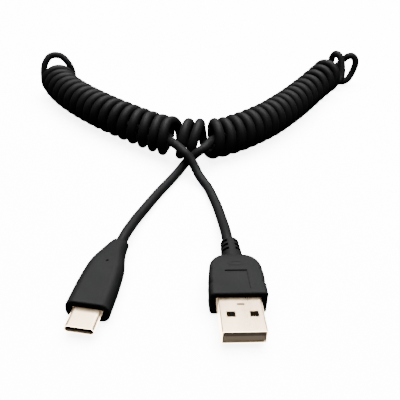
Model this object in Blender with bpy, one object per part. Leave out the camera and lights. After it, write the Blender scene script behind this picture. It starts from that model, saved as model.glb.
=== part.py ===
# Coiled USB cable: a wound cord with a flat rectangular plug and a small oval plug.
# Lengths are in millimetres here and turned into metres when a mesh is made.
import math

import bpy
from mathutils import Matrix, Vector

MM = 0.001

# Driving dimensions, in millimetres
CORD_D = 3.5
COIL_OUTER_R = 8.0
SEAT_GAP = 0.3

A_SHELL_W = 12.0
A_SHELL_H = 4.5
A_SHELL_OUT = 12.0
A_SHELL_IN = 5.7
A_SHELL_WALL = 0.3
A_BODY_W = 16.0
A_BODY_H = 8.0
A_RELIEF_END = 39.3
A_TONGUE_H = 1.8
A_TONGUE_END = 17.0
A_CONTACT_W = 1.0
A_CONTACT_END = 15.5
A_CONTACT_SPREAD = 7.0
A_PANEL_HALF_W = 3.2
A_PANEL_FRONT = 13.9
A_PANEL_BACK = 21.6
A_PANEL_DEPTH = 0.25

C_SHELL_W = 8.25
C_SHELL_H = 2.4
C_SHELL_OUT = 6.65
C_SHELL_IN = 5.0
C_SHELL_WALL = 0.25
C_BODY_W = 12.35
C_BODY_H = 6.5
C_BODY_END = 36.5
C_TAIL_BEND = 1.0
C_TAIL_START = 27.0

# Where the layout's own zero lies, so that the whole cable is centred on the origin
LAYOUT_SHIFT = (-0.676, -193.433)

# Each plug's front rim in plan, and its turn about the vertical
A_PLUG_AT = (13.15, 95.5, 0.092)
C_PLUG_AT = (-29.3, 95.75, -0.114)

# Points that the centre line of each wound stretch passes through, in plan
COIL_LEFT = [
    (-71.95, 250.5),
    (-67.5, 243.0),
    (-61.2, 234.9),
    (-54.1, 227.4),
    (-46.5, 220.4),
    (-38.5, 213.9),
    (-30.2, 207.7),
    (-21.7, 201.9),
    (-14.0, 197.3),
]
COIL_MIDDLE = [(-10.7, 195.9), (-4.3, 194.9), (1.4, 196.1)]
COIL_RIGHT = [
    (4.7, 197.6),
    (12.4, 202.9),
    (19.2, 208.9),
    (25.4, 215.6),
    (31.0, 222.7),
    (36.2, 230.2),
    (45.6, 245.7),
    (54.6, 261.5),
    (63.8, 277.1),
    (70.6, 287.5),
]

# The free leads, from the plug to where they meet the coil
LEAD_A = [
    (9.49, 135.2, 4.0),
    (8.8, 141.3, 3.2),
    (8.1, 146.9, 2.48),
    (7.1, 152.9, 1.98),
    (5.8, 159.2, 1.78),
    (4.4, 164.2, 1.78),
    (3.1, 168.8, 1.78),
    (1.7, 172.5, 1.88),
    (0.6, 175.1, 2.28),
    (-1.1, 177.5, 3.4),
    (-2.4, 178.9, 4.9),
    (-3.9, 180.2, 6.9),
    (-5.4, 181.9, 8.1),
    (-6.7, 183.9, 8.7),
    (-7.6, 185.6, 8.8),
]
LEAD_C = [
    (-24.1, 132.35, 3.25),
    (-23.2, 137.5, 3.2),
    (-22.2, 142.1, 2.8),
    (-20.9, 147.5, 2.38),
    (-19.3, 153.1, 1.98),
    (-17.4, 158.8, 1.78),
    (-15.9, 163.1, 1.78),
    (-13.9, 168.2, 1.78),
    (-11.6, 173.5, 1.78),
    (-9.7, 178.2, 1.88),
    (-8.1, 181.2, 2.38),
    (-6.4, 183.2, 3.3),
    (-4.1, 185.4, 5.3),
]
# The loops of cord that stand up behind the two ends of the coil
LOOP_LEFT = [
    (-79.3, 249.6, 9.2),
    (-79.2, 252.0, 13.0),
    (-79.0, 254.2, 16.4),
    (-77.4, 256.2, 18.8),
    (-74.5, 257.3, 19.4),
    (-71.4, 257.3, 18.3),
    (-68.8, 257.0, 16.0),
    (-67.1, 256.4, 13.0),
    (-66.95, 255.75, 9.8),
]
LOOP_RIGHT = [
    (72.0, 288.65, 15.2),
    (74.3, 289.0, 14.8),
    (76.3, 289.0, 15.6),
    (78.4, 289.0, 15.9),
    (80.4, 289.0, 13.4),
    (80.4, 288.5, 8.1),
    (78.2, 287.4, 3.3),
    (75.1, 286.9, 1.98),
]

BLACK = (0.03, 0.03, 0.032, 1.0)
METAL = (0.72, 0.69, 0.62, 1.0)
GOLD = (0.75, 0.56, 0.22, 1.0)
WHITE = (0.55, 0.54, 0.5, 1.0)


def clear_scene():
    for obj in list(bpy.data.objects):
        bpy.data.objects.remove(obj, do_unlink=True)


def material(name, colour, metallic, roughness):
    mat = bpy.data.materials.new(name)
    mat.use_nodes = True
    shader = mat.node_tree.nodes["Principled BSDF"]
    shader.inputs["Base Color"].default_value = colour
    shader.inputs["Metallic"].default_value = metallic
    shader.inputs["Roughness"].default_value = roughness
    return mat


def link(name, data, look):
    obj = bpy.data.objects.new(name, data)
    data.materials.append(material(name, *look))
    bpy.context.scene.collection.objects.link(obj)
    return obj


PLASTIC_LOOK = (BLACK, 0.0, 0.55)
METAL_LOOK = (METAL, 1.0, 0.3)
GOLD_LOOK = (GOLD, 1.0, 0.3)
INSERT_LOOK = (WHITE, 0.0, 0.5)


def in_layout(x, y, z):
    """A point of the layout as metres about the origin."""
    return Vector(((x + LAYOUT_SHIFT[0]) * MM, (y + LAYOUT_SHIFT[1]) * MM, z * MM))


def plug_matrix(at):
    """From a plug's own millimetres, rim at zero and cord towards +Y, to metres."""
    x, y, turn = at
    scale = Matrix.Scale(MM, 4)
    return Matrix.Translation(in_layout(x, y, 0.0)) @ Matrix.Rotation(turn, 4, "Z") @ scale


def smooth_path(points, step):
    """Points a step apart, in millimetres, on a smooth curve through the given ones."""
    knots = [Vector(p) for p in points]
    ends = [2 * knots[0] - knots[1]] + knots + [2 * knots[-1] - knots[-2]]
    dense = []
    for i in range(1, len(ends) - 2):
        before, start, end, after = ends[i - 1 : i + 3]
        for k in range(40):
            t = k / 40
            dense.append(
                0.5
                * (
                    2 * start
                    + (end - before) * t
                    + (2 * before - 5 * start + 4 * end - after) * t * t
                    + (3 * start - before - 3 * end + after) * t * t * t
                )
            )
    dense.append(knots[-1])
    lengths = [0.0]
    for a, b in zip(dense, dense[1:]):
        lengths.append(lengths[-1] + (b - a).length)
    count = max(2, round(lengths[-1] / step))
    path = []
    k = 0
    for i in range(count + 1):
        want = lengths[-1] * i / count
        while k < len(lengths) - 2 and lengths[k + 1] < want:
            k += 1
        share = (want - lengths[k]) / max(lengths[k + 1] - lengths[k], 1e-9)
        path.append(dense[k].lerp(dense[k + 1], min(1.0, max(0.0, share))))
    return path


def tube(name, points, radius, sides, look):
    """A round solid along the points, with closed ends."""
    curve = bpy.data.curves.new(name, "CURVE")
    curve.dimensions = "3D"
    curve.bevel_depth = radius * MM
    curve.bevel_resolution = sides
    curve.use_fill_caps = True
    spline = curve.splines.new("POLY")
    spline.points.add(len(points) - 1)
    for point, place in zip(spline.points, points):
        point.co = (*in_layout(*place), 1.0)
    return link(name, curve, look)


def rounded_section(width, height, corner, centre_z, steps=4):
    """Points of a rectangle with round corners, across a plug."""
    corner = min(corner, width / 2 - 0.01, height / 2 - 0.01)
    points = []
    centres = ((1, 1, 0), (-1, 1, 90), (-1, -1, 180), (1, -1, 270))
    for sx, sz, start in centres:
        cx = sx * (width / 2 - corner)
        cz = sz * (height / 2 - corner)
        for k in range(steps + 1):
            angle = math.radians(start + 90 * k / steps)
            points.append((cx + corner * math.cos(angle), cz + corner * math.sin(angle) + centre_z))
    return points


def loft(name, sections, at, look):
    """One closed solid through sections of equal point count: (y, points)."""
    verts = []
    for y, points in sections:
        verts += [(x, y, z) for x, z in points]
    n = len(sections[0][1])
    faces = [tuple(range(n))]
    for i in range(len(sections) - 1):
        for k in range(n):
            a = i * n + k
            b = i * n + (k + 1) % n
            faces.append((a, a + n, b + n, b))
    last = (len(sections) - 1) * n
    faces.append(tuple(reversed(range(last, last + n))))
    mesh = bpy.data.meshes.new(name)
    mesh.from_pydata(verts, [], faces)
    mesh.transform(plug_matrix(at))
    mesh.validate()
    return link(name, mesh, look)


def cut(obj, cutter):
    """Takes the cutter's shape out of the object."""
    modifier = obj.modifiers.new(cutter.name, "BOOLEAN")
    modifier.operation = "DIFFERENCE"
    modifier.solver = "EXACT"
    modifier.object = cutter
    cutter.hide_render = True
    cutter.display_type = "WIRE"


def block(name, low, high, at, look=PLASTIC_LOOK):
    """A plain box between two corners in a plug's own millimetres."""
    width = high[0] - low[0]
    height = high[2] - low[2]
    cx = (low[0] + high[0]) / 2
    corners = [
        (cx + width / 2, low[2] + height),
        (cx - width / 2, low[2] + height),
        (cx - width / 2, low[2]),
        (cx + width / 2, low[2]),
    ]
    return loft(name, [(low[1], corners), (high[1], corners)], at, look)


def sleeve(name, width, height, corner, wall, y_range, centre_z, at, look):
    """A thin tube of a rounded rectangle, open at both ends."""
    outer = rounded_section(width, height, corner, centre_z)
    inner = rounded_section(width - 2 * wall, height - 2 * wall, corner - wall, centre_z)
    n = len(outer)
    verts = []
    for y in y_range:
        verts += [(x, y, z) for x, z in outer]
        verts += [(x, y, z) for x, z in inner]
    faces = []
    for k in range(n):
        m = (k + 1) % n
        faces.append((k, k + 2 * n, m + 2 * n, m))
        faces.append((n + m, m + 3 * n, k + 3 * n, n + k))
        faces.append((m, n + m, n + k, k))
        faces.append((k + 2 * n, k + 3 * n, m + 3 * n, m + 2 * n))
    mesh = bpy.data.meshes.new(name)
    mesh.from_pydata(verts, [], faces)
    mesh.transform(plug_matrix(at))
    mesh.validate()
    return link(name, mesh, look)


def usb_a_body():
    """The overmould with its rounded shoulders and slotted cord sleeve."""
    z = A_BODY_H / 2
    full = A_BODY_W
    rows = (
        (A_SHELL_OUT, full - 0.8, A_BODY_H - 0.8, 1.2),
        (A_SHELL_OUT + 0.4, full, A_BODY_H, 1.2),
        (16.3, full, A_BODY_H, 1.2),
        (16.6, full - 0.8, A_BODY_H, 1.2),
        (22.6, full - 0.8, A_BODY_H, 1.2),
        (22.9, full - 0.6, A_BODY_H, 1.2),
        (25.6, full - 1.5, A_BODY_H, 1.2),
        (27.1, full - 3.1, A_BODY_H - 0.1, 1.3),
        (28.2, full - 5.4, A_BODY_H - 0.3, 1.4),
        (28.7, full - 7.8, A_BODY_H - 0.8, 1.5),
        (28.9, 6.9, 6.5, 2.6),
        (A_RELIEF_END - 0.4, 5.3, 5.2, 2.4),
        (A_RELIEF_END, 4.8, 4.7, 2.2),
    )
    sections = [(y, rounded_section(w, h, r, z)) for y, w, h, r in rows]
    body = loft("usb_a_body", sections, A_PLUG_AT, PLASTIC_LOOK)
    wide = A_SHELL_W / 2 + SEAT_GAP
    tall = A_SHELL_H / 2 + SEAT_GAP
    deep = A_SHELL_OUT + A_SHELL_IN + SEAT_GAP
    cut(body, block("cut_a_pocket", (-wide, 11.0, z - tall), (wide, deep, z + tall), A_PLUG_AT))
    low = (-A_PANEL_HALF_W, A_PANEL_FRONT, A_BODY_H - A_PANEL_DEPTH)
    high = (A_PANEL_HALF_W, A_PANEL_BACK, A_BODY_H + 1.0)
    cut(body, block("cut_a_panel", low, high, A_PLUG_AT))
    for side in (-1, 1):
        for i in range(3):
            y = 32.4 + 2.1 * i
            low = min(side * 1.8, side * 4.9)
            name = f"cut_a_slot_{i}_{'l' if side < 0 else 'r'}"
            cut(body, block(name, (low, y, z - 1.8), (low + 3.1, y + 1.15, z + 5.0), A_PLUG_AT))
    return body


def usb_a_metal():
    """The plug's steel sleeve, with its two latch windows above and below."""
    z = A_BODY_H / 2
    span = (0.0, A_SHELL_OUT + A_SHELL_IN)
    shell = sleeve(
        "usb_a_shell", A_SHELL_W, A_SHELL_H, 0.6, A_SHELL_WALL, span, z, A_PLUG_AT, METAL_LOOK
    )
    for i, x in enumerate((-3.0, 3.0)):
        low = (x - 1.2, 5.0, z - 4.0)
        high = (x + 1.2, 7.1, z + 4.0)
        cut(shell, block(f"cut_a_window_{i}", low, high, A_PLUG_AT))
    cut(shell, block("cut_a_seam", (-1.0, 9.4, z), (1.0, 9.9, z + 4.0), A_PLUG_AT))
    return shell


def usb_a_insert():
    """The insulating tongue on the shell's floor, and its four flat contacts."""
    low = (A_BODY_H - A_SHELL_H) / 2 + A_SHELL_WALL + 0.15
    half = A_SHELL_W / 2 - A_SHELL_WALL - 0.3
    top = low + A_TONGUE_H
    block("usb_a_tongue", (-half, 0.5, low), (half, A_TONGUE_END, top), A_PLUG_AT, INSERT_LOOK)
    for i in range(4):
        x = A_CONTACT_SPREAD * (i / 3 - 0.5)
        corner = (x - A_CONTACT_W / 2, 1.5, top + 0.1)
        block(
            f"usb_a_contact_{i + 1}",
            corner,
            (x + A_CONTACT_W / 2, A_CONTACT_END, top + 0.3),
            A_PLUG_AT,
            GOLD_LOOK,
        )


def usb_c_body():
    """The small plug's overmould, narrowing to the cord."""
    z = C_BODY_H / 2
    full = C_BODY_W
    rows = (
        (C_SHELL_OUT, full - 0.8, C_BODY_H - 0.8, 2.3),
        (C_SHELL_OUT + 0.4, full, C_BODY_H, 2.5),
        (15.5, full - 0.2, C_BODY_H, 2.5),
        (24.0, full - 1.2, C_BODY_H, 2.5),
        (26.0, full - 1.9, C_BODY_H - 0.1, 2.5),
        (29.3, 8.6, 6.0, 2.5),
        (32.7, 7.1, 5.6, 2.5),
        (35.6, 6.1, 5.1, 2.4),
        (C_BODY_END, 5.4, 4.5, 2.2),
    )
    sections = []
    for y, w, h, r in rows:
        along = (y - C_TAIL_START) / (C_BODY_END - C_TAIL_START)
        bend = C_TAIL_BEND * max(0.0, along) ** 2
        sections.append((y, [(x + bend, up) for x, up in rounded_section(w, h, r, z)]))
    body = loft("usb_c_body", sections, C_PLUG_AT, PLASTIC_LOOK)
    wide = C_SHELL_W + 2 * SEAT_GAP
    tall = C_SHELL_H + 2 * SEAT_GAP
    ring = rounded_section(wide, tall, tall / 2, z)
    deep = C_SHELL_OUT + C_SHELL_IN + SEAT_GAP
    cut(body, loft("cut_c_pocket", [(5.0, ring), (deep, ring)], C_PLUG_AT, PLASTIC_LOOK))
    return body


def usb_c_metal():
    """The small plug's seamless oval shell and the insulator within it."""
    z = C_BODY_H / 2
    span = (0.0, C_SHELL_OUT + C_SHELL_IN)
    sleeve(
        "usb_c_shell",
        C_SHELL_W,
        C_SHELL_H,
        C_SHELL_H / 2,
        C_SHELL_WALL,
        span,
        z,
        C_PLUG_AT,
        METAL_LOOK,
    )
    wide = C_SHELL_W - 2 * C_SHELL_WALL - 0.2
    tall = C_SHELL_H - 2 * C_SHELL_WALL - 0.2
    ring = rounded_section(wide, tall, tall / 2, z)
    core = loft("usb_c_insulator", [(0.8, ring), (11.0, ring)], C_PLUG_AT, INSERT_LOOK)
    cut(core, block("cut_c_slot", (-3.2, 0.0, z - 0.4), (3.2, 6.0, z + 0.4), C_PLUG_AT))


def cord_parts():
    """The three wound stretches as solid round bars, and the plain cord around them."""
    bars = {"coil_left": COIL_LEFT, "coil_middle": COIL_MIDDLE, "coil_right": COIL_RIGHT}
    for name, points in bars.items():
        line = smooth_path([(x, y, COIL_OUTER_R) for x, y in points], 1.2 * COIL_OUTER_R)
        tube(name, line, COIL_OUTER_R, 6, PLASTIC_LOOK)
    for name, points in (("lead_a", LEAD_A), ("lead_c", LEAD_C)):
        tube(name, smooth_path(points, 2.0 * CORD_D), CORD_D / 2, 2, PLASTIC_LOOK)
    for name, points in (("loop_left", LOOP_LEFT), ("loop_right", LOOP_RIGHT)):
        tube(name, smooth_path(points, 1.0 * CORD_D), CORD_D / 2, 2, PLASTIC_LOOK)


def build():
    clear_scene()
    usb_a_body()
    usb_a_metal()
    usb_a_insert()
    usb_c_body()
    usb_c_metal()
    cord_parts()


build()
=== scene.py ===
# Coiled charging cable: one cord wound into a left-handed coil, with a flat and an oval plug.
import math

import bpy
from mathutils import Matrix, Vector


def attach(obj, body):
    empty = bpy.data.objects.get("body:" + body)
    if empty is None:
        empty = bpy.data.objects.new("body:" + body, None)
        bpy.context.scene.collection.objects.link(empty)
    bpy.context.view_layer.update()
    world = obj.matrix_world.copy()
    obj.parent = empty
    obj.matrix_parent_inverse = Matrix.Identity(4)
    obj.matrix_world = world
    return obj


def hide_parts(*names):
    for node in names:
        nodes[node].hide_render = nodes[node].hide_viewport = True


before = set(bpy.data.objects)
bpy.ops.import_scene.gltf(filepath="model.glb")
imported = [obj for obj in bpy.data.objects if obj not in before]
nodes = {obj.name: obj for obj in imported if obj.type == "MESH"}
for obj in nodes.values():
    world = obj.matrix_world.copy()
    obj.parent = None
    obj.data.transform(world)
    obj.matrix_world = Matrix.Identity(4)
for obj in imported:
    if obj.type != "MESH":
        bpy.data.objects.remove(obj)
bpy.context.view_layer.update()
bpy.ops.object.select_all(action="DESELECT")

MM = 0.001
WHITE = (1.0, 1.0, 1.0)
BLACK = (0.0, 0.0, 0.0)

# The layout's millimetres are the CAD's own before it was centred on the origin
LAYOUT_SHIFT = (-0.676, -193.433)

# Each plug's front rim in plan and its turn, and how high its middle lies
A_PLUG_AT = (13.15, 95.5, 0.092)
C_PLUG_AT = (-29.3, 95.75, -0.114)
A_MIDDLE_Z = 4.0
C_MIDDLE_Z = 3.25

# The cord's thickness in the leads, the turns, the left end's arch and the right end's loop
LEAD_D = 3.5
TURN_D = 3.9
ARCH_D = 3.1
LOOP_D = 3.5

# The winding
COIL_R = 8.1
FIRST_TURN = -2.6
LAST_TURN = 34.5
POINTS_A_TURN = 36
AXIS_STEP = 0.25
TURN_STEP = 0.05
HEADING_REACH = 0.6

# Along the rest of the cord, the distance between its points
PATH_STEP = 0.5
# How many points past a coil's end the loop keeps its own thickness, and how many a change takes
LOOP_POINTS = 120
CHANGE_POINTS = 16

# How far the fronts of the turns near the middle lean towards it, and the backs away from it
LEAN_MIDDLE = 15.5
FRONT_LEAN_LEFT = [(1.2, 0.0), (1.8, 2.0), (2.5, 3.0), (3.6, 3.1), (5.0, 2.2), (9.0, 0.0)]
FRONT_LEAN_RIGHT = [(0.0, 0.5), (0.25, 1.1), (0.6, 1.0), (1.0, 0.0), (9.0, 0.0)]
BACK_LEAN_RIGHT = [(0.0, 0.0), (0.6, 0.8), (2.0, 0.8), (4.0, 0.0)]

# The coil's middle line in plan, from its left end to its right end
COIL_AXIS = [
    (-72.7, 251.9), (-67.5, 243.0), (-61.2, 234.9), (-54.1, 227.4), (-46.5, 220.4),
    (-38.5, 213.9), (-30.2, 207.7), (-21.7, 201.9), (-13.5, 197.2), (-4.3, 195.2),
    (4.9, 197.6), (12.4, 202.7), (19.2, 208.9), (25.4, 215.6), (31.0, 222.7),
    (41.0, 237.9), (50.1, 253.6), (59.1, 269.3), (68.7, 284.7), (74.3, 292.8),
]
# How far along that line the top of each numbered turn lies
TURN_AT = [
    (-3.0, -3.4), (-2.0, 1.8), (4.0, 32.0), (8.0, 50.8), (12.0, 70.9), (13.0, 76.2),
    (13.75, 80.0), (14.0, 80.9), (14.25, 83.2), (14.5, 86.4), (14.75, 88.2),
    (15.0, 88.9), (15.5, 91.0), (15.75, 91.9), (16.0, 93.6), (16.25, 95.8),
    (16.5, 98.4), (16.75, 100.0), (17.0, 100.7), (17.5, 102.6), (18.0, 105.4),
    (22.0, 125.0), (26.0, 145.2), (29.0, 162.4), (31.0, 175.8), (33.0, 191.7),
    (34.0, 199.2), (35.0, 207.2), (36.0, 214.5),
]
# The turns at the middle and at both ends stand a little taller
TURN_LIFT = [
    (-2.6, 0.5), (-2.0, 0.5), (-1.0, 0.0), (12.5, 0.0), (14.0, 0.5), (15.0, 0.8), (16.0, 0.8),
    (17.0, 0.4), (18.0, 0.0), (31.5, 0.0), (33.0, 0.5), (34.0, 1.2), (34.6, 1.2),
]

# The cord's way from the flat plug up to the coil, and back through the left half's bore
LEAD_A = [
    (9.65, 133.5, 4.0), (9.3, 136.3, 4.0), (8.8, 141.3, 3.4), (8.1, 146.9, 2.5),
    (7.1, 152.9, 1.95), (5.8, 159.2, 1.78), (3.1, 168.8, 1.8),
    (1.1, 173.0, 2.2), (-0.8, 175.8, 3.3), (-2.3, 178.2, 4.9), (-3.8, 180.0, 6.8),
    (-5.1, 181.1, 8.1), (-6.5, 181.9, 9.2), (-7.8, 183.2, 9.7), (-9.2, 184.9, 10.1),
    (-10.7, 186.3, 10.5), (-12.2, 189.4, 9.9), (-13.0, 193.3, 8.5), (-15.2, 197.4, 8.6),
]
BORE_LEFT = [(-21.7, 202.0, 7.4), (-38.5, 213.9, 5.8), (-54.1, 227.4, 5.8), (-64.4, 238.9, 7.0)]
# Out of the bore and over in a tall arch to the first turn
ARCH_LEFT = [
    (-69.6, 248.9, 8.2), (-71.6, 254.8, 7.4), (-72.9, 257.8, 4.6), (-75.3, 257.4, 2.3),
    (-78.6, 255.6, 2.3), (-80.2, 254.0, 5.0), (-79.9, 253.4, 10.5), (-79.7, 253.8, 12.9),
    (-79.2, 254.6, 15.2), (-78.2, 255.6, 17.1), (-76.9, 256.7, 18.4), (-74.7, 257.3, 19.0),
    (-72.2, 257.6, 18.7), (-70.3, 257.5, 17.6), (-68.7, 257.0, 16.0), (-67.0, 256.7, 13.0),
    (-66.3, 256.4, 9.5), (-66.9, 255.3, 6.0),
]
# From the last turn over a small arch and a tall loop, then back through the right half's bore
LOOP_RIGHT = [
    (71.7, 279.8, 4.6), (73.0, 281.6, 7.5), (72.9, 283.6, 10.8), (72.4, 285.4, 13.6),
    (71.3, 287.0, 15.9), (69.8, 288.5, 16.7), (68.7, 290.0, 15.4), (68.3, 291.5, 12.4),
    (69.0, 292.5, 7.8), (71.2, 291.0, 3.1), (74.0, 286.9, 1.9), (77.5, 286.8, 2.9),
    (79.8, 288.0, 6.5), (80.9, 288.5, 11.0), (80.5, 289.0, 13.9), (78.5, 289.5, 15.6),
    (76.3, 290.0, 14.9), (74.7, 290.4, 13.2), (72.7, 289.8, 11.0), (70.0, 287.0, 9.2),
]
BORE_RIGHT = [
    (67.0, 279.8, 8.2), (59.1, 269.3, 6.0), (50.1, 253.6, 5.6), (41.0, 237.9, 5.6),
    (25.4, 215.6, 5.8), (14.4, 204.6, 7.0),
]
# Down from the coil's middle, under the other lead, to the oval plug
LEAD_C = [
    (9.3, 201.4, 7.4), (6.4, 198.2, 8.2), (3.9, 194.0, 9.3), (3.0, 191.5, 9.7),
    (2.1, 189.0, 10.0), (1.3, 187.0, 9.9), (0.2, 185.6, 9.6), (-1.0, 184.8, 9.0),
    (-2.1, 184.4, 8.2), (-3.1, 184.2, 7.3), (-4.5, 184.0, 6.1), (-5.8, 183.9, 4.7),
    (-7.4, 182.3, 3.2), (-8.6, 180.5, 2.2), (-9.8, 178.0, 1.85),
    (-11.6, 173.5, 1.78), (-15.6, 163.6, 1.78), (-19.2, 153.1, 1.95),
    (-20.9, 147.5, 2.35), (-22.2, 142.1, 2.85), (-23.2, 137.5, 3.2),
    (-24.1, 132.4, 3.25), (-24.4, 130.5, 3.25),
]

# The flat plug, in its own millimetres: y is zero at its rim and grows towards the cord
A_SHELL_W = 12.0
A_SHELL_H = 4.5
A_SHELL_END = 17.7
A_SHELL_CORNER = 0.6
A_SHELL_WALL = 0.3
A_BODY_FRONT = 12.0
A_BODY_W = 16.0
A_BODY_H = 8.0
A_BODY_CORNER = 1.2
A_RIM_ROUND = 0.5
A_LIP = 0.95
A_MOUTH_W = 12.6
A_MOUTH_DEEP = 6.0
# Rows of y, width and sideways shift from the front to the shoulders, with a grip in each side
A_GRIP_ROWS = [
    (A_BODY_FRONT, A_BODY_W, 0.0), (16.35, 16.1, 0.1), (16.65, 15.2, 0.15), (17.05, 15.15, 0.15),
    (17.45, 15.6, 0.2), (18.8, 15.85, 0.2), (20.6, 15.8, 0.25), (21.9, 15.55, 0.3),
    (22.25, 15.0, 0.3), (22.6, 15.0, 0.3), (22.9, 15.45, 0.3),
]
A_SHOULDER_LONG = 6.0
A_SHOULDER_NARROWS = 8.8
A_SHOULDER_DROPS = 1.1
A_SHOULDER_SWEEP = 81
A_SHOULDER_ROWS = 9
A_PANEL_HALF_W = 3.2
A_PANEL_FRONT = 13.9
A_PANEL_BACK = 21.6
A_PANEL_DEEP = 0.34
A_DISH_AT = (0.25, 24.25, 8.2)
A_DISH_HALF = (2.9, 1.05, 0.45)
A_RELIEF_SHIFT = 0.35
A_RELIEF_FRONT = (28.6, 7.0, 6.6)
A_RELIEF_BACK = (39.0, 5.7, 5.4)
A_RELIEF_SIDES = 64
A_RELIEF_ROUND = 0.7
A_SLOTS_AT = (32.4, 34.5, 36.6)
A_SLOT_LONG = 1.15
A_SLOT_INNER = 1.0
A_SLOT_OUTER = 5.0
A_SLOT_FLOOR = 2.2
A_WINDOWS_AT = (-3.0, 3.2)
# How low and high the cuts through the upper and the lower wall reach
A_WINDOW_CUTS = ((5.0, 9.0), (-1.0, 3.0))
A_WINDOW_HALF_W = 1.2
A_WINDOW_FRONT = 5.0
A_WINDOW_BACK = 7.1
A_SLIT_LOW = (-1.0, 9.3, 5.0)
A_SLIT_HIGH = (1.0, 9.95, 9.0)
A_SEAM_LOW = (-0.06, -0.5, 1.0)
A_SEAM_HIGH = (0.06, 12.6, 1.85)

# The oval plug, in its own millimetres
C_SHELL_W = 8.25
C_SHELL_H = 2.4
C_SHELL_END = 11.65
C_SHELL_CORNER = 1.19
C_SHELL_WALL = 0.25
C_BODY_FRONT = 6.65
C_BODY_CORNER = 2.6
C_RIM_ROUND = 0.4
C_LIP = 1.3
C_MOUTH_DEEP = 5.0
# Rows of y, width and height from the front to the tail's end
C_BODY_ROWS = [
    (C_BODY_FRONT, 12.35, 6.5), (15.5, 12.15, 6.5), (20.0, 11.7, 6.5), (24.0, 11.1, 6.5),
    (26.0, 10.4, 6.4), (28.0, 9.4, 6.2), (30.0, 8.3, 5.9), (32.7, 7.1, 5.6),
    (35.0, 6.3, 5.2), (36.1, 5.9, 5.0), (36.5, 5.2, 4.3),
]
C_TAIL_START = 27.0
C_TAIL_LONG = 9.5
C_PINHOLE_AT = (0.5, 24.5, 6.5)
C_PINHOLE_HALF = (0.42, 0.42, 0.5)

# The photograph's camera
CAMERA_HEIGHT = 108.555
CAMERA_PITCH = 0.585
CAMERA_ROLL = 0.0501
CAMERA_LENS = 48.48
SENSOR_WIDTH = 36.0
NEAR_CLIP = 0.005

# The studio, in metres, with the strength of what glows in it
FLOOR_SIZE = 8.0
FLOOR_DROP = 0.0002
PAPER_WHITE = (0.95, 0.95, 0.95)
PAPER_GLOW = 6.0
BACKDROP_RADIUS = 5.0
BACKDROP_GLOW = 9.0
AIR_GLOW = 0.03
METAL_LIGHT = (1.0, 0.9, 0.77)
# Each softbox's name, what it lights, place, aim, size, watts and colour
SOFTBOXES = [
    ("paper_softbox", "paper", (0.1, 0.25, 1.3), (0.0, 0.0, 0.0), (1.6, 1.6), 240.0, WHITE),
    ("top_softbox", "black", (0.0, 0.12, 0.8), (0.0, 0.0, 0.0), (0.8, 0.8), 9.8, WHITE),
    ("back_softbox", "black", (0.0, 0.43, 0.6), (0.0, -0.1, 0.0), (0.6, 0.35), 2.4, WHITE),
    ("metal_top", "metal", (0.0, -0.05, 0.8), (0.0, -0.1, 0.0), (1.2, 1.2), 80.0, METAL_LIGHT),
    ("metal_paper", "metal", (0.0, 0.0, -0.06), (0.0, 0.0, 0.0), (0.7, 0.7), 22.0, METAL_LIGHT),
    ("mouth_light", "mouth", (0.0, -0.6, 0.16), (0.0, -0.1, 0.0), (0.4, 0.2), 1.2, METAL_LIGHT),
]
# The light that the paper throws up comes through the floor, so only its own pieces shade it
FROM_BELOW = "metal_paper"


def in_layout(x, y, z):
    """A point of the layout in metres about the origin."""
    return Vector(((x + LAYOUT_SHIFT[0]) * MM, (y + LAYOUT_SHIFT[1]) * MM, z * MM))


def plug_place(at):
    """From a plug's own place, rim at zero and cord towards +Y, to where it lies."""
    x, y, turn = at
    return Matrix.Translation(in_layout(x, y, 0.0)) @ Matrix.Rotation(turn, 4, "Z")


# The cord's route


def between(knots, x):
    """The value at x on straight lines through the knots."""
    for (x0, y0), (x1, y1) in zip(knots, knots[1:]):
        if x <= x1:
            return y0 + (y1 - y0) * max(0.0, (x - x0) / (x1 - x0))
    return knots[-1][1]


def smooth_path(points, step):
    """Points a step apart on a smooth curve through the given ones."""
    knots = [Vector(p) for p in points]
    ends = [2 * knots[0] - knots[1]] + knots + [2 * knots[-1] - knots[-2]]
    parts = 30
    dense = []
    for i in range(1, len(ends) - 2):
        a, b, c, d = ends[i - 1 : i + 3]
        for k in range(parts):
            t = k / parts
            bend = (2 * a - 5 * b + 4 * c - d) * t * t + (3 * b - a - 3 * c + d) * t ** 3
            dense.append(0.5 * (2 * b + (c - a) * t + bend))
    dense.append(knots[-1])
    lengths = [0.0]
    for a, b in zip(dense, dense[1:]):
        lengths.append(lengths[-1] + (b - a).length)
    count = max(2, round(lengths[-1] / step))
    path = []
    k = 0
    for i in range(count + 1):
        want = lengths[-1] * i / count
        while k < len(lengths) - 2 and lengths[k + 1] < want:
            k += 1
        share = (want - lengths[k]) / max(lengths[k + 1] - lengths[k], 1e-9)
        path.append(dense[k].lerp(dense[k + 1], min(1.0, max(0.0, share))))
    return path


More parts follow.
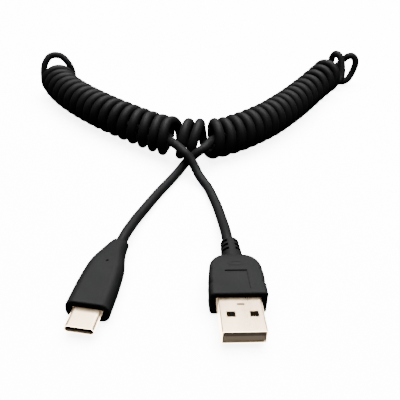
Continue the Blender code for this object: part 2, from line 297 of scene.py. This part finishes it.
def wound_points():
    """Points of the left-handed winding, from the first turn to the last."""
    axis = smooth_path(COIL_AXIS, AXIS_STEP)
    places = smooth_path(TURN_AT, TURN_STEP)
    places = [(p[0], p[1]) for p in places]

    def on_axis(s):
        k = min(s / AXIS_STEP, len(axis) - 1.001)
        i = max(0, int(k))
        return axis[i].lerp(axis[i + 1], k - i)

    points = []
    count = round((LAST_TURN - FIRST_TURN) * POINTS_A_TURN)
    for i in range(count + 1):
        turn = FIRST_TURN + (LAST_TURN - FIRST_TURN) * i / count
        s = between(places, turn)
        middle = on_axis(s)
        heading = (on_axis(s + HEADING_REACH) - on_axis(s - HEADING_REACH)).normalized()
        across = Vector((-heading[1], heading[0]))
        angle = math.radians(90 - 360 * turn)
        lift = between(TURN_LIFT, turn)
        radius = COIL_R - TURN_D / 2 + lift / 2
        past = turn - LEAN_MIDDLE
        front, back = max(0.0, -math.cos(angle)), max(0.0, math.cos(angle))
        if past < 0:
            lean = between(FRONT_LEAN_LEFT, -past) * front
        else:
            lean = between(BACK_LEAN_RIGHT, past) * back - between(FRONT_LEAN_RIGHT, past) * front
        side = middle + across * radius * math.cos(angle) + Vector(heading[:2]) * lean
        points.append(Vector((side[0], side[1], COIL_R + lift / 2 + radius * math.sin(angle))))
    return points


def cord_line():
    """The cord's whole middle line from plug to plug, and its thickness at each point."""
    wound = wound_points()
    first = smooth_path(LEAD_A + BORE_LEFT + ARCH_LEFT + [tuple(wound[0])], PATH_STEP)
    last = smooth_path([tuple(wound[-1])] + LOOP_RIGHT + BORE_RIGHT + LEAD_C, PATH_STEP)
    points = first[:-1] + wound + last[1:]
    thick = []
    start = len(first) - 1
    end = start + len(wound) - 1
    for i in range(len(points)):
        loop = ARCH_D if i < (start + end) / 2 else LOOP_D
        if start <= i <= end:
            near = min(i - start, end - i)
            thick.append(loop + (TURN_D - loop) * min(1.0, near / CHANGE_POINTS))
        else:
            away = min(abs(i - start), abs(i - end))
            share = min(1.0, max(0.0, (away - LOOP_POINTS) / CHANGE_POINTS))
            thick.append(loop + (LEAD_D - loop) * share)
    return points, thick


# Camera, floor and light


def add_camera():
    data = bpy.data.cameras.new("photo_camera")
    data.lens = CAMERA_LENS
    data.sensor_width = SENSOR_WIDTH
    data.clip_start = NEAR_CLIP
    camera = bpy.data.objects.new("photo_camera", data)
    bpy.context.scene.collection.objects.link(camera)
    at = Vector((LAYOUT_SHIFT[0] * MM, LAYOUT_SHIFT[1] * MM, CAMERA_HEIGHT * MM))
    camera.matrix_world = (
        Matrix.Translation(at)
        @ Matrix.Rotation(math.pi / 2 - CAMERA_PITCH, 4, "X")
        @ Matrix.Rotation(CAMERA_ROLL, 4, "Z")
    )
    bpy.context.scene.camera = camera


def glowing_material(name, colour, glow):
    mat = bpy.data.materials.new(name)
    mat.use_nodes = True
    shader = mat.node_tree.nodes["Principled BSDF"]
    shader.inputs["Base Color"].default_value = (*colour, 1.0)
    shader.inputs["Emission Color"].default_value = (*WHITE, 1.0)
    shader.inputs["Emission Strength"].default_value = glow
    return mat


def add_floor():
    """White paper under the cable, which throws no light of its own on it."""
    bpy.ops.mesh.primitive_plane_add(size=FLOOR_SIZE, location=(0.0, 0.0, -FLOOR_DROP))
    floor = bpy.context.object
    floor.name = "studio_floor"
    paper = glowing_material("studio_paper", PAPER_WHITE, PAPER_GLOW)
    shader = paper.node_tree.nodes["Principled BSDF"]
    shader.inputs["Roughness"].default_value = 1.0
    shader.inputs["Specular IOR Level"].default_value = 0.0
    floor.data.materials.append(paper)
    floor.visible_diffuse = False
    floor.visible_glossy = False
    return floor


def add_backdrop():
    """A white sphere round the studio, which only the camera sees."""
    bpy.ops.mesh.primitive_uv_sphere_add(segments=32, ring_count=16, radius=BACKDROP_RADIUS)
    backdrop = bpy.context.object
    backdrop.name = "studio_backdrop"
    backdrop.data.materials.append(glowing_material("studio_glow", BLACK, BACKDROP_GLOW))
    backdrop.visible_diffuse = False
    backdrop.visible_glossy = False
    backdrop.visible_shadow = False
    return backdrop


def add_air():
    """A faint light from all round."""
    world = bpy.data.worlds.new("studio_air")
    world.use_nodes = True
    background = world.node_tree.nodes["Background"]
    background.inputs["Color"].default_value = (*WHITE, 1.0)
    background.inputs["Strength"].default_value = AIR_GLOW
    bpy.context.scene.world = world


def light_group(name, members):
    group = bpy.data.collections.new(name)
    for member in members:
        group.objects.link(member)
    return group


def add_softbox(name, place, aim, size, watts, colour, lit):
    """A rectangular studio light that lights one group of things."""
    light = bpy.data.lights.new(name, "AREA")
    light.shape = "RECTANGLE"
    light.size, light.size_y = size
    light.energy = watts
    light.color = colour
    lamp = bpy.data.objects.new(name, light)
    bpy.context.scene.collection.objects.link(lamp)
    lamp.location = place
    towards = Vector(aim) - Vector(place)
    lamp.rotation_euler = towards.to_track_quat("-Z", "Y").to_euler()
    lamp.light_linking.receiver_collection = lit
    if name == FROM_BELOW:
        lamp.light_linking.blocker_collection = lit


def add_studio(black_pieces, metal_pieces, mouth_pieces):
    """The paper, and lights of their own for the paper, the black, the metal and the mouth."""
    floor = add_floor()
    add_backdrop()
    add_air()
    groups = {
        "paper": light_group("lit_paper", [floor]),
        "black": light_group("lit_black", black_pieces),
        "metal": light_group("lit_metal", metal_pieces),
        "mouth": light_group("lit_mouth", mouth_pieces),
    }
    for name, lights, place, aim, size, watts, colour in SOFTBOXES:
        add_softbox(name, place, aim, size, watts, colour, groups[lights])


# Materials

BROAD_GRAIN = 160.0
FINE_GRAIN = 2500.0
BROAD_SHARE = 0.6
RELIEF_STRENGTH = 0.6
PLASTIC_SPECULAR = 0.25
# What the noise runs between, over most of a surface
NOISE_LOW = 0.3
NOISE_HIGH = 0.7


def add_node(tree, kind, **values):
    """A node with its sockets or its settings at the given values."""
    made = tree.nodes.new(kind)
    for name, value in values.items():
        if name in made.inputs:
            made.inputs[name].default_value = value
        else:
            setattr(made, name, value)
    return made


def finish_material(name, dark, light, rough, metallic=0.0, bump=0.00002, stretch=(1, 1, 1)):
    """A surface whose colour, gloss and fine relief vary as a moulded or drawn one's do."""
    mat = bpy.data.materials.new(name)
    mat.use_nodes = True
    tree = mat.node_tree
    link = tree.links.new
    shader = tree.nodes["Principled BSDF"]
    shader.inputs["Metallic"].default_value = metallic
    if not metallic:
        shader.inputs["Specular IOR Level"].default_value = PLASTIC_SPECULAR
    coords = add_node(tree, "ShaderNodeTexCoord")
    mapping = add_node(tree, "ShaderNodeMapping", Scale=stretch)
    link(coords.outputs["Object"], mapping.inputs["Vector"])
    broad = add_node(tree, "ShaderNodeTexNoise", Scale=BROAD_GRAIN, Detail=3.0)
    fine = add_node(tree, "ShaderNodeTexNoise", Scale=FINE_GRAIN, Detail=4.0)
    for noise in (broad, fine):
        link(mapping.outputs["Vector"], noise.inputs["Vector"])
    fine_part = add_node(tree, "ShaderNodeMath", operation="MULTIPLY")
    link(fine.outputs["Fac"], fine_part.inputs[0])
    fine_part.inputs[1].default_value = 1.0 - BROAD_SHARE
    both = add_node(tree, "ShaderNodeMath", operation="MULTIPLY_ADD")
    link(broad.outputs["Fac"], both.inputs[0])
    both.inputs[1].default_value = BROAD_SHARE
    link(fine_part.outputs[0], both.inputs[2])
    colour = add_node(tree, "ShaderNodeMix", data_type="RGBA")
    link(both.outputs[0], colour.inputs[0])
    colour.inputs[6].default_value = (*dark, 1.0)
    colour.inputs[7].default_value = (*light, 1.0)
    link(colour.outputs[2], shader.inputs["Base Color"])
    gloss = add_node(tree, "ShaderNodeMapRange")
    link(both.outputs[0], gloss.inputs["Value"])
    gloss.inputs["From Min"].default_value = NOISE_LOW
    gloss.inputs["From Max"].default_value = NOISE_HIGH
    gloss.inputs["To Min"].default_value = rough[0]
    gloss.inputs["To Max"].default_value = rough[1]
    link(gloss.outputs[0], shader.inputs["Roughness"])
    relief = add_node(tree, "ShaderNodeBump", Strength=RELIEF_STRENGTH, Distance=bump)
    link(fine.outputs["Fac"], relief.inputs["Height"])
    link(relief.outputs["Normal"], shader.inputs["Normal"])
    return mat


# Shaping tools


def start_block(name, low, high):
    """A box between two corners of a plug's own millimetres, ready to be shaped."""
    bpy.ops.object.select_all(action="DESELECT")
    middle = [(a + b) / 2 * MM for a, b in zip(low, high)]
    bpy.ops.mesh.primitive_cube_add(size=1.0, location=middle)
    piece = bpy.context.object
    piece.name = piece.data.name = name
    piece.scale = [(b - a) * MM for a, b in zip(low, high)]
    bpy.ops.object.transform_apply(location=True, rotation=True, scale=True)
    return piece


def pick(piece, kind, chosen):
    """Opens the piece for editing with the chosen faces or edges selected."""
    if bpy.context.mode != "OBJECT":
        leave()
    bpy.context.tool_settings.mesh_select_mode = (False, kind == "EDGE", kind == "FACE")
    mesh = piece.data
    mesh.vertices.foreach_set("select", [False] * len(mesh.vertices))
    mesh.edges.foreach_set("select", [False] * len(mesh.edges))
    mesh.polygons.foreach_set("select", [False] * len(mesh.polygons))
    if kind == "FACE":
        for face in mesh.polygons:
            face.select = bool(chosen(face.center / MM, face.normal))
    else:
        for edge in mesh.edges:
            a, b = (mesh.vertices[v].co / MM for v in edge.vertices)
            edge.select = bool(chosen(a, b))
    bpy.ops.object.mode_set(mode="EDIT")


def leave():
    bpy.ops.object.mode_set(mode="OBJECT")


def apply_modifier(piece, kind, **values):
    bpy.context.view_layer.objects.active = piece
    modifier = piece.modifiers.new(kind.lower(), kind)
    for name, value in values.items():
        setattr(modifier, name, value)
    bpy.ops.object.modifier_apply(modifier=modifier.name)


def smooth(piece, degrees=35.0):
    """Soft shading on the rounded edges, with the flat faces left flat."""
    bpy.ops.object.select_all(action="DESELECT")
    piece.select_set(True)
    bpy.context.view_layer.objects.active = piece
    bpy.ops.object.shade_smooth_by_angle(angle=math.radians(degrees))
    apply_modifier(piece, "WEIGHTED_NORMAL", keep_sharp=True, weight=100)


def put(piece, at, look, slot, *replaced):
    """Gives a finished piece its place, look and part in the frame."""
    bpy.ops.object.select_all(action="DESELECT")
    piece.select_set(True)
    bpy.context.view_layer.objects.active = piece
    piece.matrix_world = plug_place(at)
    bpy.ops.object.transform_apply(location=True, rotation=True, scale=True)
    piece.data.materials.clear()
    piece.data.materials.append(look)
    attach(piece, "root")
    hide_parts(*replaced)


def drawn_out(name, rows, middle_z):
    """A block drawn out along Y through rows of y, width, height and sideways shift."""
    y0, w0, h0, _ = rows[0]
    y1 = rows[1][0]
    piece = start_block(name, (-w0 / 2, y0, middle_z - h0 / 2), (w0 / 2, y1, middle_z + h0 / 2))
    pick(piece, "FACE", lambda c, n: n.y > 0.9)
    was = rows[0]
    for index, row in enumerate(rows[1:]):
        if index:
            step = ((row[3] - was[3]) * MM, (row[0] - was[0]) * MM, 0.0)
            bpy.ops.mesh.extrude_region_move(TRANSFORM_OT_translate={"value": step})
        bpy.ops.transform.resize(
            value=(row[1] / was[1], 1.0, row[2] / was[2]),
            center_override=(row[3] * MM, row[0] * MM, middle_z * MM),
        )
        was = row
    leave()
    return piece


def round_edges(piece, chosen, offset, segments):
    pick(piece, "EDGE", chosen)
    bpy.ops.mesh.bevel(offset=offset * MM, segments=segments, affect="EDGES", clamp_overlap=False)
    leave()


def round_long_edges(piece, offset, segments):
    """Rounds the edges that run along Y."""
    round_edges(piece, lambda a, b: abs(a.y - b.y) > 0.02, offset, segments)


def round_rim(piece, y, offset, segments):
    """Rounds the edges of the end that lies at y."""
    round_edges(piece, lambda a, b: abs(a.y - y) < 0.01 and abs(b.y - y) < 0.01, offset, segments)


def pick_front(piece, y):
    pick(piece, "FACE", lambda c, n: n.y < -0.9 and abs(c.y - y) < 0.01)


def push_in(depth):
    bpy.ops.mesh.extrude_region_move(TRANSFORM_OT_translate={"value": (0.0, depth * MM, 0.0)})


def cut_away(piece, cutters):
    """Takes each cutter's shape out of the piece and clears the cutter."""
    for cutter in cutters:
        apply_modifier(piece, "BOOLEAN", operation="DIFFERENCE", solver="EXACT", object=cutter)
        bpy.data.objects.remove(cutter, do_unlink=True)


def ball_cutter(name, middle, half):
    """A squashed ball with its middle and half sizes in a plug's own millimetres."""
    bpy.ops.object.select_all(action="DESELECT")
    bpy.ops.mesh.primitive_uv_sphere_add(
        segments=48, ring_count=24, radius=1.0, location=[value * MM for value in middle]
    )
    cutter = bpy.context.object
    cutter.name = name
    cutter.scale = [value * MM for value in half]
    bpy.ops.object.transform_apply(location=True, rotation=True, scale=True)
    return cutter


def open_sleeve(name, width, height, corner, wall, length, middle_z):
    """A thin metal sleeve along Y, open at both ends."""
    low = (-width / 2, 0.0, middle_z - height / 2)
    high = (width / 2, length, middle_z + height / 2)
    piece = start_block(name, low, high)
    pick(piece, "FACE", lambda c, n: abs(n.y) > 0.9)
    bpy.ops.mesh.delete(type="FACE")
    round_long_edges(piece, corner, 8)
    apply_modifier(piece, "SOLIDIFY", thickness=wall * MM, offset=-1.0, use_even_offset=True)
    return piece


# The flat plug


def shoulder_rows():
    """Rows of the rounded shoulders, on a quarter of an oval."""
    start, full, shift = A_GRIP_ROWS[-1]
    rows = []
    for k in range(1, A_SHOULDER_ROWS + 1):
        angle = math.radians(A_SHOULDER_SWEEP * k / A_SHOULDER_ROWS)
        inwards = 1 - math.cos(angle)
        y = start + A_SHOULDER_LONG * math.sin(angle)
        width = full - A_SHOULDER_NARROWS * inwards
        height = A_BODY_H - A_SHOULDER_DROPS * inwards ** 2
        rows.append((y, width, height, shift))
    return rows


def flat_plug_body():
    """The overmould with its side grips, panel recess, dish and rounded shoulders."""
    rows = [(y, width, A_BODY_H, shift) for y, width, shift in A_GRIP_ROWS]
    body = drawn_out("flat_plug_body", rows + shoulder_rows(), A_MIDDLE_Z)
    round_long_edges(body, A_BODY_CORNER, 5)
    round_rim(body, A_BODY_FRONT, A_RIM_ROUND, 3)
    pick_front(body, A_BODY_FRONT)
    bpy.ops.mesh.inset(thickness=A_LIP * MM)
    bpy.ops.transform.resize(
        value=(A_MOUTH_W / (A_BODY_W - 2 * (A_RIM_ROUND + A_LIP)), 1.0, 1.0),
        center_override=(0.0, A_BODY_FRONT * MM, A_MIDDLE_Z * MM),
    )
    push_in(A_MOUTH_DEEP)
    leave()
    low = (-A_PANEL_HALF_W, A_PANEL_FRONT, A_BODY_H - A_PANEL_DEEP)
    high = (A_PANEL_HALF_W, A_PANEL_BACK, A_BODY_H + 1.0)
    panel = start_block("panel_cutter", low, high)
    dish = ball_cutter("dish_cutter", A_DISH_AT, A_DISH_HALF)
    cut_away(body, [panel, dish])
    smooth(body)
    return body


def flat_plug_relief():
    """The tapered sleeve on the cord, with three slots in each side."""
    front, back = A_RELIEF_FRONT[0], A_RELIEF_BACK[0]
    bpy.ops.object.select_all(action="DESELECT")
    bpy.ops.mesh.primitive_cylinder_add(
        vertices=A_RELIEF_SIDES,
        radius=0.5 * MM,
        depth=(back - front) * MM,
        location=(A_RELIEF_SHIFT * MM, (front + back) / 2 * MM, A_MIDDLE_Z * MM),
        rotation=(math.pi / 2, 0.0, 0.0),
    )
    relief = bpy.context.object
    relief.name = relief.data.name = "flat_plug_relief"
    bpy.ops.object.transform_apply(location=True, rotation=True, scale=True)
    for y, width, height in (A_RELIEF_FRONT, A_RELIEF_BACK):
        pick(relief, "FACE", lambda c, n: abs(c.y - y) < 0.01)
        bpy.ops.transform.resize(
            value=(width, 1.0, height),
            center_override=(A_RELIEF_SHIFT * MM, y * MM, A_MIDDLE_Z * MM),
        )
        leave()
    round_rim(relief, back, A_RELIEF_ROUND, 4)
    cutters = []
    for side in (-1, 1):
        inner = A_RELIEF_SHIFT + side * A_SLOT_INNER
        outer = A_RELIEF_SHIFT + side * A_SLOT_OUTER
        for y in A_SLOTS_AT:
            low = (min(inner, outer), y, A_SLOT_FLOOR)
            high = (max(inner, outer), y + A_SLOT_LONG, A_BODY_H + 1.0)
            cutters.append(start_block("slot_cutter", low, high))
    cut_away(relief, cutters)
    smooth(relief)
    return relief


def flat_plug_shell():
    """The steel sleeve with its four latch windows, its slit on top and its seam beneath."""
    shell = open_sleeve(
        "flat_plug_shell", A_SHELL_W, A_SHELL_H, A_SHELL_CORNER, A_SHELL_WALL, A_SHELL_END, A_MIDDLE_Z
    )
    cutters = []
    for x in A_WINDOWS_AT:
        for bottom, top in A_WINDOW_CUTS:
            low = (x - A_WINDOW_HALF_W, A_WINDOW_FRONT, bottom)
            high = (x + A_WINDOW_HALF_W, A_WINDOW_BACK, top)
            cutters.append(start_block("window_cutter", low, high))
    cutters.append(start_block("slit_cutter", A_SLIT_LOW, A_SLIT_HIGH))
    cutters.append(start_block("seam_cutter", A_SEAM_LOW, A_SEAM_HIGH))
    cut_away(shell, cutters)
    smooth(shell)
    return shell


# The oval plug


def oval_plug_body():
    """The small overmould, narrowing to the cord with a slight sideways bend, and its pinhole."""
    rows = []
    for y, width, height in C_BODY_ROWS:
        shift = max(0.0, (y - C_TAIL_START) / C_TAIL_LONG) ** 2
        rows.append((y, width, height, shift))
    body = drawn_out("oval_plug_body", rows, C_MIDDLE_Z)
    round_long_edges(body, C_BODY_CORNER, 10)
    round_rim(body, C_BODY_FRONT, C_RIM_ROUND, 3)
    pick_front(body, C_BODY_FRONT)
    bpy.ops.mesh.inset(thickness=C_LIP * MM)
    push_in(C_MOUTH_DEEP)
    leave()
    cut_away(body, [ball_cutter("pinhole_cutter", C_PINHOLE_AT, C_PINHOLE_HALF)])
    smooth(body, 50.0)
    return body


def oval_plug_shell():
    shell = open_sleeve(
        "oval_plug_shell", C_SHELL_W, C_SHELL_H, C_SHELL_CORNER, C_SHELL_WALL, C_SHELL_END, C_MIDDLE_Z
    )
    smooth(shell, 50.0)
    return shell


# The cord


def coiled_cord(look):
    """The whole cord as one round curve, with its length in metres."""
    points, thick = cord_line()
    curve = bpy.data.curves.new("coiled_cord", "CURVE")
    curve.dimensions = "3D"
    curve.bevel_depth = LEAD_D / 2 * MM
    curve.bevel_resolution = 8
    curve.use_fill_caps = True
    curve.resolution_u = 1
    spline = curve.splines.new("POLY")
    spline.points.add(len(points) - 1)
    for target, point, width in zip(spline.points, points, thick):
        target.co = (*in_layout(*point), 1.0)
        target.radius = width / LEAD_D
    piece = bpy.data.objects.new("coiled_cord", curve)
    bpy.context.scene.collection.objects.link(piece)
    curve.materials.append(look)
    length = sum((b - a).length for a, b in zip(points, points[1:])) * MM
    return piece, length


# Build

add_camera()

black_plastic = finish_material(
    "black_plastic", (0.012, 0.012, 0.013), (0.021, 0.021, 0.021), (0.55, 0.68)
)
cord_jacket = finish_material(
    "cord_jacket", (0.011, 0.011, 0.012), (0.02, 0.02, 0.02), (0.5, 0.62)
)
plated_steel = finish_material(
    "plated_steel", (0.87, 0.71, 0.52), (0.94, 0.78, 0.59), (0.24, 0.36),
    metallic=1.0, bump=0.0000015, stretch=(1, 0.08, 1),
)
gold_contact = finish_material(
    "gold_contact", (0.7, 0.5, 0.2), (0.85, 0.64, 0.3), (0.2, 0.35), metallic=1.0
)
insert_plastic = finish_material(
    "insert_plastic", (0.36, 0.32, 0.27), (0.46, 0.41, 0.35), (0.4, 0.55)
)
dark_insert = finish_material(
    "dark_insert", (0.012, 0.012, 0.012), (0.025, 0.024, 0.023), (0.4, 0.6)
)

cord, cord_length = coiled_cord(cord_jacket)
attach(cord, "root")
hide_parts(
    "coil_left", "coil_middle", "coil_right", "lead_a", "lead_c", "loop_left", "loop_right"
)

flat_body = flat_plug_body()
put(flat_body, A_PLUG_AT, black_plastic, "black_plastic", "usb_a_body")
flat_relief = flat_plug_relief()
put(flat_relief, A_PLUG_AT, black_plastic, "black_plastic", "usb_a_body")
flat_shell = flat_plug_shell()
put(flat_shell, A_PLUG_AT, plated_steel, "plated_steel", "usb_a_shell")
oval_body = oval_plug_body()
put(oval_body, C_PLUG_AT, black_plastic, "black_plastic", "usb_c_body")
oval_shell = oval_plug_shell()
put(oval_shell, C_PLUG_AT, plated_steel, "plated_steel", "usb_c_shell")

# The inner pieces keep their CAD shapes and get their real finish
tongue = nodes["usb_a_tongue"]
contacts = [nodes[f"usb_a_contact_{i}"] for i in range(1, 5)]
insulator = nodes["usb_c_insulator"]
for piece, look in [(tongue, insert_plastic), (insulator, dark_insert)] + [
    (contact, gold_contact) for contact in contacts
]:
    piece.data.materials.clear()
    piece.data.materials.append(look)

# The sleeves throw no brown light back onto the black lips round them
for sleeve in (flat_shell, oval_shell):
    sleeve.visible_diffuse = False
    sleeve.visible_glossy = False

add_studio(
    [cord, flat_body, flat_relief, oval_body, insulator], [flat_shell, oval_shell], [tongue] + contacts
)
